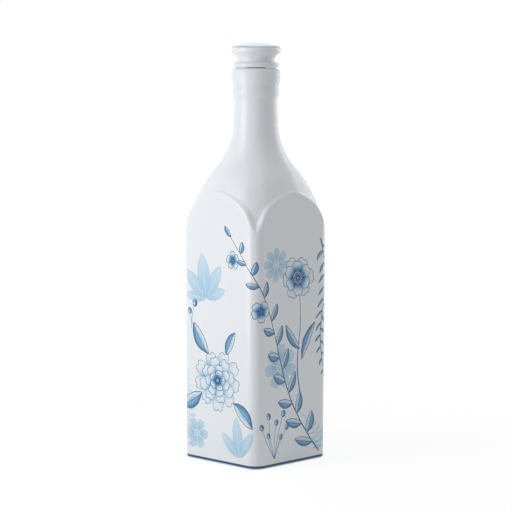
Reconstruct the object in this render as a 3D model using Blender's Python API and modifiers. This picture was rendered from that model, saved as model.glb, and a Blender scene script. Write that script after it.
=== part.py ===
"""Square porcelain bottle with a round neck, a hollow inside, and a stopper that lifts out.

The bottle is a turned form, lip, neck and shoulder, cut to a square by a tapered prism with rounded
corners, so each flat side ends in an arch below the shoulder. The stopper is a porcelain knob glued
on a moulded plug, and three silicone rings in the plug's grooves seal it in the bore.
Metres, +Z up, origin in the middle of the foot, the flat sides square to X and Y.
"""

import math

import bmesh
import bpy

# Square body
SIDE_AT_FOOT = 0.0774
SIDE_AT_SHOULDER = 0.0783
SHOULDER_BASE = 0.165
CORNER_RADIUS = 0.0087
FOOT_ROUNDING = 0.0012
WALL = 0.0045
FLOOR_THICKNESS = 0.0052
INNER_FLOOR_ROUNDING = 0.0025
FOOT_RIM_WIDTH = 0.0060
FOOT_RECESS_DEPTH = 0.0018

# Lip and neck, each height measured down from the lip
LIP_HEIGHT = 0.2912
LIP_ROUNDING = 0.0026
MOUTH_CHAMFER = 0.0008
COLLAR_RADIUS = 0.01785
COLLAR_DROP = 0.0079
GROOVE_RADIUS = 0.0167
GROOVE_DROP = 0.0146
RING_RADIUS = 0.0171
RING_DROP = 0.0178
NECK_RADIUS = 0.0157
NECK_TOP_DROP = 0.0240
NECK_FOOT_RADIUS = 0.0164
NECK_FOOT_DROP = 0.0417
BORE_RADIUS = 0.0110

# Flare and shoulder, two arcs that meet tangent to each other
FLARE_RADIUS = 0.0547
SHOULDER_RADIUS = 0.0950
NECK_SLOPE_DEG = 3.6
STEEPEST_SLOPE_DEG = 40.8
SHOULDER_END_SLOPE_DEG = 5.2

# Stopper knob, each height measured up from its flat underside
KNOB_HEIGHT = 0.0185
KNOB_RADIUS = 0.0183
DOME_RADIUS = 0.0168
DOME_HEIGHT = 0.0031
RIM_ROUNDING_DEPTH = 0.0030
RIM_LOW_EDGE = 0.0117
RIM_LOW_ROUNDING = 0.0007
WAIST_RADIUS = 0.01395
WAIST_LOW = 0.0046
WAIST_ARC_RADIUS = 0.0065
FLANGE_RADIUS = 0.0170
FLANGE_FOOT_RADIUS = 0.0158
FLANGE_THICKNESS = 0.0036
FLANGE_TOP_ROUNDING = 0.0011
SOCKET_DEPTH = 0.0092

# Plug and its seal rings
PLUG_RADIUS = 0.0092
PLUG_LENGTH = 0.0258
PLUG_NOSE = 0.0016
SPIGOT_RADIUS = 0.0070
RING_COUNT = 3
FIRST_RING_DROP = 0.0066
LAST_RING_RISE = 0.0056
RING_HEIGHT = 0.0030
GROOVE_DEPTH = 0.0010

# Clearance between pieces that touch, and how far a cutter runs past what it cuts
CLEARANCE = 0.0003
OVERRUN = 0.0020

# Fineness of the turned and rounded surfaces
BODY_STEPS = 64
BORE_STEPS = 48
KNOB_STEPS = 48
PLUG_STEPS = 40
CORNER_SEGMENTS = 6
EDGE_SEGMENTS = 3
MERGE_DISTANCE = 0.00005

PORCELAIN = ((0.86, 0.88, 0.90, 1.0), 0.24)
PLUG_PLASTIC = ((0.80, 0.79, 0.75, 1.0), 0.42)
SILICONE = ((0.74, 0.78, 0.80, 1.0), 0.35)


def clear_scene():
    for obj in list(bpy.data.objects):
        bpy.data.objects.remove(obj, do_unlink=True)


def new_collection(name):
    collection = bpy.data.collections.new(name)
    bpy.context.scene.collection.children.link(collection)
    return collection


def make_material(name, colour, roughness):
    material = bpy.data.materials.new(name)
    material.use_nodes = True
    shader = material.node_tree.nodes["Principled BSDF"]
    shader.inputs["Base Color"].default_value = colour
    shader.inputs["Roughness"].default_value = roughness
    shader.inputs["Metallic"].default_value = 0.0
    material.diffuse_color = colour
    return material


def arc(centre, radius, start_deg, end_deg, segments):
    """Points (r, z) on an arc, its angles counted from +r towards +z."""
    points = []
    for step in range(segments + 1):
        angle = math.radians(start_deg + (end_deg - start_deg) * step / segments)
        points.append((centre[0] + radius * math.cos(angle), centre[1] + radius * math.sin(angle)))
    return points


def eased(start, end, segments):
    """Points (r, z) from start to end that leave and arrive parallel to the axis."""
    points = []
    for step in range(1, segments + 1):
        share = step / segments
        blend = (1 - math.cos(math.pi * share)) / 2
        points.append((start[0] + (end[0] - start[0]) * blend, start[1] + (end[1] - start[1]) * share))
    return points


def turned(name, profile, steps, collection):
    """An object turned round Z from a profile (r, z) that runs down its outer side."""
    mesh = bpy.data.meshes.new(name)
    edges = [(index, index + 1) for index in range(len(profile) - 1)]
    mesh.from_pydata([(r, 0, z) for r, z in profile], edges, [])
    obj = bpy.data.objects.new(name, mesh)
    collection.objects.link(obj)
    screw = obj.modifiers.new("Turn", "SCREW")
    screw.axis = "Z"
    screw.angle = math.tau
    screw.steps = steps
    screw.render_steps = steps
    screw.use_merge_vertices = True
    screw.merge_threshold = MERGE_DISTANCE
    return obj


def prism(name, low_side, low_z, high_side, high_z, corner_radius, foot_rounding, collection):
    """A tapered square prism with rounded upright edges and, if asked for, rounded foot edges."""
    shape = bmesh.new()
    bmesh.ops.create_cube(shape, size=1)
    for vertex in shape.verts:
        high = vertex.co.z > 0
        side = high_side if high else low_side
        vertex.co.x *= side
        vertex.co.y *= side
        vertex.co.z = high_z if high else low_z
    upright = [edge for edge in shape.edges if edge.verts[0].co.z != edge.verts[1].co.z]
    bmesh.ops.bevel(
        shape, geom=upright, offset=corner_radius, segments=CORNER_SEGMENTS, profile=0.5, affect="EDGES"
    )
    if foot_rounding:
        middle = (low_z + high_z) / 2
        foot = [edge for edge in shape.edges if all(vertex.co.z < middle for vertex in edge.verts)]
        bmesh.ops.bevel(
            shape, geom=foot, offset=foot_rounding, segments=EDGE_SEGMENTS, profile=0.5, affect="EDGES"
        )
    mesh = bpy.data.meshes.new(name)
    shape.to_mesh(mesh)
    shape.free()
    obj = bpy.data.objects.new(name, mesh)
    collection.objects.link(obj)
    return obj


def as_cutter(obj):
    obj.hide_render = True
    obj.display_type = "WIRE"
    return obj


def add_boolean(obj, operation, other):
    boolean = obj.modifiers.new(f"{operation.title()} {other.name}", "BOOLEAN")
    boolean.operation = operation
    boolean.solver = "EXACT"
    boolean.object = other


def finish(obj, material):
    """Turns the modifiers' result into the piece's own mesh, smooth but for its sharp edges."""
    bpy.context.view_layer.update()
    evaluated = obj.evaluated_get(bpy.context.evaluated_depsgraph_get())
    mesh = bpy.data.meshes.new_from_object(evaluated)
    mesh.name = obj.name
    obj.modifiers.clear()
    obj.data = mesh
    mesh.materials.clear()
    mesh.materials.append(material)
    mesh.shade_smooth()
    mesh.set_sharp_from_angle(angle=math.radians(24))
    return obj


def side_at(height):
    """The width of the square body at a height, which follows its taper."""
    return SIDE_AT_FOOT + (SIDE_AT_SHOULDER - SIDE_AT_FOOT) * height / SHOULDER_BASE


def corner_reach(side, corner_radius):
    """The distance from the axis to the outside of a rounded corner."""
    return side / math.sqrt(2) - corner_radius * (math.sqrt(2) - 1)


def shoulder_curve(inset):
    """The flare and the shoulder as points (r, z), moved in from the outer surface by inset."""
    neck_slope = math.radians(NECK_SLOPE_DEG)
    steepest = math.radians(STEEPEST_SLOPE_DEG)
    flare_centre = (
        NECK_FOOT_RADIUS + FLARE_RADIUS * math.cos(neck_slope),
        LIP_HEIGHT - NECK_FOOT_DROP + FLARE_RADIUS * math.sin(neck_slope),
    )
    both_radii = FLARE_RADIUS + SHOULDER_RADIUS
    shoulder_centre = (
        flare_centre[0] - both_radii * math.cos(steepest),
        flare_centre[1] - both_radii * math.sin(steepest),
    )
    flare = arc(flare_centre, FLARE_RADIUS + inset, 180 + NECK_SLOPE_DEG, 180 + STEEPEST_SLOPE_DEG, 9)
    shoulder = arc(
        shoulder_centre, SHOULDER_RADIUS - inset, STEEPEST_SLOPE_DEG, SHOULDER_END_SLOPE_DEG, 10
    )
    return flare + shoulder[1:]


def run_out(curve, reach, low_z):
    """Carries a shoulder curve on past the square's corners, then straight down and in to the axis."""
    end_r, end_z = curve[-1]
    wall_r = max(end_r, reach) + OVERRUN
    wall_z = end_z - (wall_r - end_r) / math.tan(math.radians(SHOULDER_END_SLOPE_DEG))
    return curve + [(wall_r, wall_z), (wall_r, low_z), (0, low_z)]


def make_bottle(parts, cutters):
    """Slip-cast porcelain shell: turned lip, neck and shoulder over a square hollow body."""
    lip_arc = arc((COLLAR_RADIUS - LIP_ROUNDING, LIP_HEIGHT - LIP_ROUNDING), LIP_ROUNDING, 90, 0, 4)
    collar_foot = (COLLAR_RADIUS, LIP_HEIGHT - COLLAR_DROP)
    groove = (GROOVE_RADIUS, LIP_HEIGHT - GROOVE_DROP)
    ring = (RING_RADIUS, LIP_HEIGHT - RING_DROP)
    neck_top = (NECK_RADIUS, LIP_HEIGHT - NECK_TOP_DROP)
    profile = [(0, LIP_HEIGHT)] + lip_arc + [collar_foot]
    profile += eased(collar_foot, groove, 3) + eased(groove, ring, 2) + eased(ring, neck_top, 4)
    top_side = side_at(LIP_HEIGHT + OVERRUN)
    profile += run_out(shoulder_curve(0), corner_reach(top_side, CORNER_RADIUS), -OVERRUN)
    bottle = turned("bottle_body", profile, BODY_STEPS, parts)

    square = prism(
        "square_sides",
        SIDE_AT_FOOT,
        0,
        top_side,
        LIP_HEIGHT + OVERRUN,
        CORNER_RADIUS,
        FOOT_ROUNDING,
        cutters,
    )
    add_boolean(bottle, "INTERSECT", as_cutter(square))
    add_boolean(bottle, "DIFFERENCE", make_hollow(top_side, cutters))
    recess = prism(
        "foot_recess",
        SIDE_AT_FOOT - 2 * FOOT_RIM_WIDTH,
        -OVERRUN,
        SIDE_AT_FOOT - 2 * FOOT_RIM_WIDTH,
        FOOT_RECESS_DEPTH,
        CORNER_RADIUS - FOOT_RIM_WIDTH / 2,
        0,
        cutters,
    )
    add_boolean(bottle, "DIFFERENCE", as_cutter(recess))
    return finish(bottle, make_material("body_porcelain", *PORCELAIN))


def make_hollow(top_side, cutters):
    """The space inside the bottle: a straight bore that opens into a square hollow."""
    inner_corner = CORNER_RADIUS - WALL
    inner_top_side = top_side - 2 * WALL
    floor_top = FOOT_RECESS_DEPTH + FLOOR_THICKNESS
    bore_foot = LIP_HEIGHT - PLUG_LENGTH - (NECK_FOOT_DROP - PLUG_LENGTH) / 2
    profile = [
        (0, LIP_HEIGHT + OVERRUN),
        (BORE_RADIUS + MOUTH_CHAMFER + OVERRUN, LIP_HEIGHT + OVERRUN),
        (BORE_RADIUS, LIP_HEIGHT - MOUTH_CHAMFER),
        (BORE_RADIUS, bore_foot),
    ]
    low_z = floor_top - OVERRUN
    profile += run_out(shoulder_curve(WALL), corner_reach(inner_top_side, inner_corner), low_z)
    hollow = turned("hollow", profile, BORE_STEPS, cutters)
    inner_square = prism(
        "inner_square",
        side_at(floor_top) - 2 * WALL,
        floor_top,
        inner_top_side,
        LIP_HEIGHT + 2 * OVERRUN,
        inner_corner,
        INNER_FLOOR_ROUNDING,
        cutters,
    )
    add_boolean(hollow, "INTERSECT", as_cutter(inner_square))
    return as_cutter(hollow)


def make_knob(seat, parts):
    """Porcelain knob: a low dome over a rounded rim, a hollow waist and a thin flange."""
    dome_edge_z = KNOB_HEIGHT - DOME_HEIGHT
    sphere = (DOME_RADIUS**2 + DOME_HEIGHT**2) / (2 * DOME_HEIGHT)
    half_angle = math.degrees(math.asin(DOME_RADIUS / sphere))
    dome = arc((0, KNOB_HEIGHT - sphere), sphere, 90, 90 - half_angle, 5)
    rim_width = KNOB_RADIUS - DOME_RADIUS
    rim = []
    for step in range(1, 5):
        turn = math.radians(90 * step / 4)
        rim.append(
            (
                DOME_RADIUS + rim_width * math.sin(turn),
                dome_edge_z - RIM_ROUNDING_DEPTH * (1 - math.cos(turn)),
            )
        )
    low_rim = arc((KNOB_RADIUS - RIM_LOW_ROUNDING, RIM_LOW_EDGE), RIM_LOW_ROUNDING, 0, -45, 2)
    waist = arc((WAIST_RADIUS + WAIST_ARC_RADIUS, WAIST_LOW), WAIST_ARC_RADIUS, 135, 180, 5)
    flange_top = arc(
        (FLANGE_RADIUS - FLANGE_TOP_ROUNDING, FLANGE_THICKNESS - FLANGE_TOP_ROUNDING),
        FLANGE_TOP_ROUNDING,
        75,
        0,
        3,
    )
    socket_radius = SPIGOT_RADIUS + CLEARANCE
    profile = [(0, KNOB_HEIGHT)] + dome[1:] + rim + low_rim + waist
    profile += flange_top + [(FLANGE_FOOT_RADIUS, 0), (socket_radius, 0)]
    profile += [(socket_radius, SOCKET_DEPTH), (0, SOCKET_DEPTH)]
    knob = turned("stopper_knob", profile, KNOB_STEPS, parts)
    knob.parent = seat
    knob.location.z = CLEARANCE
    return finish(knob, make_material("knob_porcelain", *PORCELAIN))


def ring_centre(index):
    """The height of a seal ring's middle from the lip: the rings share out the plug's length evenly."""
    spread = PLUG_LENGTH - FIRST_RING_DROP - LAST_RING_RISE
    return -FIRST_RING_DROP - spread * index / max(RING_COUNT - 1, 1)


def make_plug(seat, parts):
    """Moulded plug: a spigot glued into the knob's socket, and a shank with a groove for each ring."""
    half_groove = RING_HEIGHT / 2 + CLEARANCE
    floor_radius = PLUG_RADIUS - GROOVE_DEPTH
    spigot_top = SOCKET_DEPTH
    profile = [(0, spigot_top), (SPIGOT_RADIUS, spigot_top), (SPIGOT_RADIUS, 0), (PLUG_RADIUS, 0)]
    for index in range(RING_COUNT):
        middle = ring_centre(index)
        profile += [(PLUG_RADIUS, middle + half_groove), (floor_radius, middle + half_groove)]
        profile += [(floor_radius, middle - half_groove), (PLUG_RADIUS, middle - half_groove)]
    profile += arc((PLUG_RADIUS - PLUG_NOSE, PLUG_NOSE - PLUG_LENGTH), PLUG_NOSE, 0, -90, 4)
    profile += [(0, -PLUG_LENGTH)]
    plug = turned("stopper_plug", profile, PLUG_STEPS, parts)
    plug.parent = seat
    return finish(plug, make_material("plug_plastic", *PLUG_PLASTIC))


def make_seal_rings(seat, parts):
    """Silicone rings with a domed outer face, each seated in its own groove."""
    inner = PLUG_RADIUS - GROOVE_DEPTH + CLEARANCE
    outer = BORE_RADIUS - CLEARANCE
    half_height = RING_HEIGHT / 2
    crown = (outer - inner) / 2
    dome = []
    for step in range(7):
        turn = math.pi * step / 6
        dome.append((outer - crown + crown * math.sin(turn), half_height * math.cos(turn)))
    profile = [(inner, half_height)] + dome + [(inner, -half_height), (inner, half_height)]
    names = ["upper", "middle", "lower"]
    first = None
    for index in range(RING_COUNT):
        name = f"seal_ring_{names[index]}" if index < len(names) else f"seal_ring_{index + 1}"
        if first is None:
            ring = turned(name, profile, PLUG_STEPS, parts)
            finish(ring, make_material("seal_silicone", *SILICONE))
            first = ring
        else:
            ring = bpy.data.objects.new(name, first.data)
            parts.objects.link(ring)
        ring.parent = seat
        ring.location.z = ring_centre(index)


clear_scene()
part_collection = new_collection("porcelain_bottle")
cutter_collection = new_collection("cutters")
make_bottle(part_collection, cutter_collection)
stopper_seat = bpy.data.objects.new("stopper_seat", None)
stopper_seat.location.z = LIP_HEIGHT
stopper_seat.empty_display_size = COLLAR_RADIUS
part_collection.objects.link(stopper_seat)
make_knob(stopper_seat, part_collection)
make_plug(stopper_seat, part_collection)
make_seal_rings(stopper_seat, part_collection)
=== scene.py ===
"""The looks of a square porcelain bottle with a blue plant design and a knob stopper."""

import math

import bmesh
import bpy
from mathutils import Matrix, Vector


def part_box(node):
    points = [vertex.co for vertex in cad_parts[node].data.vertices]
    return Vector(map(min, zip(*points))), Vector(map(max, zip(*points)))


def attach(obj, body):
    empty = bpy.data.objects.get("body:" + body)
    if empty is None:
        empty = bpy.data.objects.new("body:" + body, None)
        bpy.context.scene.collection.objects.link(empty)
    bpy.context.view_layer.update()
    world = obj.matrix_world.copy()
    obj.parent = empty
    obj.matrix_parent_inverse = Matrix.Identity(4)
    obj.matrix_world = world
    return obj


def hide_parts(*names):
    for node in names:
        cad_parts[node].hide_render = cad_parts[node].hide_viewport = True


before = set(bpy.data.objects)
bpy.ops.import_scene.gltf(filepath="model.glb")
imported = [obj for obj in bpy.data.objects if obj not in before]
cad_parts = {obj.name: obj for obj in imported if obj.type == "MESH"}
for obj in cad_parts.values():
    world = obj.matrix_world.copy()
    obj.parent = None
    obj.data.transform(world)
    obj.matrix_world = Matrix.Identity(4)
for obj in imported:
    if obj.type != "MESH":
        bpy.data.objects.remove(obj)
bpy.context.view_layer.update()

# Bottle
# One slip-cast porcelain shell, glazed inside and out: round lip, neck and shoulder over a square body
# whose flat sides end in arches. It is painted in blue before glazing, and stands on a bare foot ring.

# Sizes are in metres and heights are above the foot. A place is (radius, height), and a rounding
# that is a pair is (across, along the axis).
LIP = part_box("bottle_body")[1].z
SHOULDER_BASE = 0.165
HALF_SIDE_AT_TOP = 0.03915
HALF_SIDE_AT_FOOT = 0.0387
CORNER = 0.0087
WALL = 0.0045
FOOT_ROUNDING = 0.0012
FOOT_RIM = 0.0060
RECESS = 0.0018
FLOOR = 0.0070
INNER_FLOOR_ROUNDING = 0.0035
BORE = 0.0110
BORE_STOPS = (LIP - 0.0300, LIP - 0.0150)
MOUTH_ROUNDING = 0.0010
LIP_ROUNDING = (0.0042, 0.0029)
COLLAR = (0.01785, LIP - 0.0079)
GROOVE = (0.0167, LIP - 0.0146)
BEAD = (0.0171, LIP - 0.0178)
NECK_TOP = (0.0157, LIP - 0.0240)
NECK_FOOT = (0.0164, LIP - 0.0417)
FLARE_RADIUS = 0.0547
SHOULDER_RADIUS = 0.0950
NECK_SLOPE = math.radians(3.6)
STEEPEST_SLOPE = math.radians(40.8)
SHOULDER_END_SLOPE = math.radians(5.2)
ARCH_REGION_TOP = 0.2045

# How finely each stretch of the profile is divided: flare, shoulder and arches, inside and outside,
# then the plain stretches, and the neck's forms from the lip down.
INNER_STEPS = (10, 8, 12)
OUTER_STEPS = (24, 16, 74)
WALL_STEPS = 10
FLOOR_CORNER_STEPS = 4
FOOT_CORNER_STEPS = 5
MOUTH_STEPS = 5
LIP_STEPS = 12
NECK_STOPS = ((COLLAR, 6), (GROOVE, 14), (BEAD, 8), (NECK_TOP, 14), (NECK_FOOT, 16))
# Shares of the way out from the axis, and the step into the foot's recess: height and inset.
FLOOR_SHARES = (0.0, 0.25, 0.5, 0.75)
FOOT_STEP = (
    (0.0 * RECESS, FOOT_RIM - RECESS),
    (0.1 * RECESS, FOOT_RIM - 0.5 * RECESS),
    (0.9 * RECESS, FOOT_RIM + 0.2 * RECESS),
    (1.0 * RECESS, FOOT_RIM + RECESS),
)


class Wire:
    """A socket of a node tree: arithmetic on it adds Math nodes to the tree."""

    def __init__(self, graph, socket):
        self.graph = graph
        self.socket = socket

    def math(self, operation, *others):
        return self.graph.add("ShaderNodeMath", {"operation": operation}, (self, *others))

    def vector(self, operation, *others):
        """Vector Math on this socket, where a length or a dot product comes out as a number."""
        output = "Value" if operation in ("LENGTH", "DOT_PRODUCT") else "Vector"
        return self.graph.add("ShaderNodeVectorMath", {"operation": operation}, (self, *others), output)

    def output(self, name):
        """Another output of the node that this socket belongs to."""
        return Wire(self.graph, self.socket.node.outputs[name])

    def __add__(self, other):
        return self.math("ADD", other)

    __radd__ = __add__

    def __sub__(self, other):
        return self.math("SUBTRACT", other)

    def __rsub__(self, other):
        return self.graph.add("ShaderNodeMath", {"operation": "SUBTRACT"}, (other, self))

    def __mul__(self, other):
        return self.math("MULTIPLY", other)

    __rmul__ = __mul__

    def __truediv__(self, other):
        return self.math("DIVIDE", other)

    def __rtruediv__(self, other):
        return self.graph.add("ShaderNodeMath", {"operation": "DIVIDE"}, (other, self))

    def __pow__(self, other):
        return self.math("POWER", other)

    def __abs__(self):
        return self.math("ABSOLUTE")

    def __lt__(self, other):
        return self.math("LESS_THAN", other)

    def __gt__(self, other):
        return self.math("GREATER_THAN", other)

    def __mod__(self, other):
        return self.math("FLOORED_MODULO", other)


class Graph:
    """A node tree being drawn."""

    def __init__(self, tree):
        self.tree = tree

    def add(self, kind, settings=None, sockets=(), output=0):
        """Adds a node: first its settings, then its sockets' values or links, by order or by name."""
        node = self.tree.nodes.new(kind)
        for name, value in (settings or {}).items():
            if name == "stops":
                self.set_stops(node.color_ramp, value)
            else:
                setattr(node, name, value)
        pairs = sockets.items() if isinstance(sockets, dict) else enumerate(sockets)
        for key, value in pairs:
            if isinstance(value, Wire):
                self.tree.links.new(value.socket, node.inputs[key])
            else:
                node.inputs[key].default_value = value
        return Wire(self, node.outputs[output]) if len(node.outputs) else node

    def set_stops(self, ramp, stops):
        while len(ramp.elements) < len(stops):
            ramp.elements.new(1.0)
        for element, (place, colour) in zip(ramp.elements, stops):
            element.position = place
            element.color = colour


def joined(x, y, z=0.0):
    """The vector of three numbers."""
    return x.graph.add("ShaderNodeCombineXYZ", {}, (x, y, z))


def parted(vector):
    """The three numbers of a vector."""
    x = vector.graph.add("ShaderNodeSeparateXYZ", {}, (vector,))
    return x, x.output("Y"), x.output("Z")


def new_tree(name, kind, inputs, outputs):
    """A node group with named sockets: its graph, and what each of its inputs gives."""
    tree = bpy.data.node_groups.new(name, kind)
    for way, kinds in (("INPUT", inputs), ("OUTPUT", outputs)):
        for socket, socket_kind in kinds.items():
            tree.interface.new_socket(name=socket, in_out=way, socket_type=socket_kind)
    graph = Graph(tree)
    given = tree.nodes.new("NodeGroupInput")
    return graph, {socket: Wire(graph, given.outputs[socket]) for socket in inputs}


def linked(name, data):
    """A new object of the scene, made of a mesh, a light or a camera."""
    obj = bpy.data.objects.new(name, data)
    bpy.context.scene.collection.objects.link(obj)
    return obj


def rise(value, low, high):
    """A smooth step from 0 at one value to 1 at another, level before and after."""
    smooth = {"interpolation_type": "SMOOTHSTEP", "clamp": False}
    ranges = {"Value": value, "From Min": low, "From Max": high}
    return value.graph.add("ShaderNodeMapRange", smooth, ranges)


def quarter_turns(steps):
    """The turns, in radians, that divide a quarter of a circle into steps."""
    return [math.pi / 2 * step / steps for step in range(steps + 1)]


def arc(centre, radius, start, end, steps):
    """Points (r, z) on an arc, from one angle to another, counted from +r towards +z."""
    turns = [start + (end - start) * step / steps for step in range(steps + 1)]
    return [(centre[0] + radius * math.cos(turn), centre[1] + radius * math.sin(turn)) for turn in turns]


def oval(centre, radii, start, end, steps):
    """As arc, with one radius across and another along the axis."""
    unit = arc((0.0, 0.0), 1.0, start, end, steps)
    return [(centre[0] + radii[0] * r, centre[1] + radii[1] * z) for r, z in unit]


def eased(start, end, steps):
    """Points (r, z) from start to end that leave and arrive parallel to the axis."""
    shares = [step / steps for step in range(1, steps + 1)]
    return [
        (
            start[0] + (end[0] - start[0]) * (1 - math.cos(math.pi * share)) / 2,
            start[1] + (end[1] - start[1]) * share,
        )
        for share in shares
    ]


def shoulder_curve(inset, flare_steps, shoulder_steps, arch_steps):
    """The flare and the shoulder as points (r, z), moved in from the outer surface by inset."""
    flare_centre = (
        NECK_FOOT[0] + FLARE_RADIUS * math.cos(NECK_SLOPE),
        NECK_FOOT[1] + FLARE_RADIUS * math.sin(NECK_SLOPE),
    )
    both_radii = FLARE_RADIUS + SHOULDER_RADIUS
    shoulder_centre = (
        flare_centre[0] - both_radii * math.cos(STEEPEST_SLOPE),
        flare_centre[1] - both_radii * math.sin(STEEPEST_SLOPE),
    )
    flare_turns = (math.pi + NECK_SLOPE, math.pi + STEEPEST_SLOPE)
    flare = arc(flare_centre, FLARE_RADIUS + inset, *flare_turns, flare_steps)
    radius = SHOULDER_RADIUS - inset
    arch_turn = math.asin((ARCH_REGION_TOP - shoulder_centre[1]) / radius)
    shoulder = arc(shoulder_centre, radius, STEEPEST_SLOPE, arch_turn, shoulder_steps)
    beside_arches = arc(shoulder_centre, radius, arch_turn, SHOULDER_END_SLOPE, arch_steps)
    return flare + shoulder[1:] + beside_arches[1:]


def walled(curve, low, steps):
    """Carries a shoulder curve on as a cone past the square's corners, down to a height."""
    end_r, end_z = curve[-1]
    rows = [end_z + (low - end_z) * step / steps for step in range(1, steps + 1)]
    return curve + [(end_r + (end_z - z) * math.tan(SHOULDER_END_SLOPE), z) for z in rows]


def body_profile():
    """Rows (r, z, inset, unrolled height), from the middle of the inside over the lip to under the foot."""
    wide = 2 * HALF_SIDE_AT_TOP
    rows = [(share * wide / 2, FLOOR, WALL + INNER_FLOOR_ROUNDING) for share in FLOOR_SHARES]
    for turn in quarter_turns(FLOOR_CORNER_STEPS):
        inset = WALL + INNER_FLOOR_ROUNDING * (1 - math.sin(turn))
        rows.append((wide, FLOOR + INNER_FLOOR_ROUNDING * (1 - math.cos(turn)), inset))
    inner_foot = FLOOR + 3 * INNER_FLOOR_ROUNDING
    inner = walled(shoulder_curve(WALL, *INNER_STEPS), inner_foot, WALL_STEPS)[::-1]
    rows += [(r, z, WALL) for r, z in inner if r > BORE]
    rows += [(BORE, z, WALL) for z in BORE_STOPS]
    mouth_centre = (BORE + MOUTH_ROUNDING, LIP - MOUTH_ROUNDING)
    mouth = arc(mouth_centre, MOUTH_ROUNDING, math.pi, math.pi / 2, MOUTH_STEPS)
    rows += [(r, z, WALL) for r, z in mouth]
    inner_count = len(rows)
    lip_centre = (COLLAR[0] - LIP_ROUNDING[0], LIP - LIP_ROUNDING[1])
    outer = oval(lip_centre, LIP_ROUNDING, math.pi / 2, 0, LIP_STEPS)
    for stop, steps in NECK_STOPS:
        outer += eased(outer[-1], stop, steps)
    outer.pop()
    outer += walled(shoulder_curve(0.0, *OUTER_STEPS), 3 * FOOT_ROUNDING, WALL_STEPS)
    rows += [(r, z, 0.0) for r, z in outer]
    for turn in quarter_turns(FOOT_CORNER_STEPS):
        inset = FOOT_ROUNDING * (1 - math.cos(turn))
        rows.append((wide, FOOT_ROUNDING * (1 - math.sin(turn)), inset))
    outer_end = len(rows)
    rows += [(wide, z, inset) for z, inset in FOOT_STEP]
    rows += [(share * wide / 2, RECESS, FOOT_RIM + RECESS) for share in reversed(FLOOR_SHARES)]
    heights = []
    for index, (r, z, inset) in enumerate(rows):
        if index < inner_count:
            across_floor = wide - r if z == FLOOR else 0.0
            heights.append(2 * LIP - z + across_floor)
        elif index < outer_end:
            heights.append(z)
        else:
            heights.append(-inset - (wide - r))
    return [row + (height,) for row, height in zip(rows, heights)]


def profile_object(name, rows):
    """A line of points at (r, 0, z) that carries each row's inset and unrolled height."""
    mesh = bpy.data.meshes.new(name)
    mesh.from_pydata([(r, 0, z) for r, z, inset, height in rows], [], [])
    for place, attribute in ((2, "inset"), (3, "height")):
        values = [row[place] for row in rows]
        mesh.attributes.new(attribute, "FLOAT", "POINT").data.foreach_set("value", values)
    return linked(name, mesh)


ROUND_STEPS = 360
BODY_SIZES = {
    "Half side at foot": HALF_SIDE_AT_FOOT,
    "Half side at top": HALF_SIDE_AT_TOP,
    "Top height": SHOULDER_BASE,
    "Corner radius": CORNER,
    "Arch drop": 0.0020,
    "Ledge depth": 0.0006,
    "Ledge width": 0.0027,
    "Shoulder blend": 0.0012,
    "Hollow depth": 0.0006,
    "Moat depth": 0.0004,
    "Bank width": 0.0038,
    "Corner creep": 0.0012,
}

# Where the forms round the arches begin and end: by height, and by lean, which is 0 at the middle of a
# flat side and 1 at a corner.
FLAT_LEANS = (0.25, 0.80)
FLAT_HEIGHTS = (0.204, 0.228)
CREEP_HEIGHTS = (0.172, 0.186)
LEDGE_HEIGHTS = (0.170, 0.182)
DEEPER_LEANS = (0.55, 0.85)
WIDER_LEANS = (0.50, 0.90)
HOLLOW_FOOT = (0.170, 0.180)
HOLLOW_TOP = (0.181, 0.191)
MOAT_RUN = 0.014
LEAST_CORNER = 0.0005
LEAST_BLEND = 0.0015
LEDGE_AT_TOP = 0.6
LEDGE_SPREAD = 0.9
BANK_ROUNDING = 0.4
SHOULDER_LEAN = 0.16


def rounded_square(half, corner, along, across):
    """Distance from the axis to a rounded square, in the direction that along and across give."""
    flat = half - corner
    to_flat = half / along.math("MAXIMUM", across)
    middle = flat * (along + across)
    left_over = middle * middle - 2 * flat * flat + corner * corner
    to_corner = middle + left_over.math("MAXIMUM", 0.0).math("SQRT")
    on_corner = (to_flat * along.math("MINIMUM", across)) > flat
    return to_flat + (to_corner - to_flat) * on_corner


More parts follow.
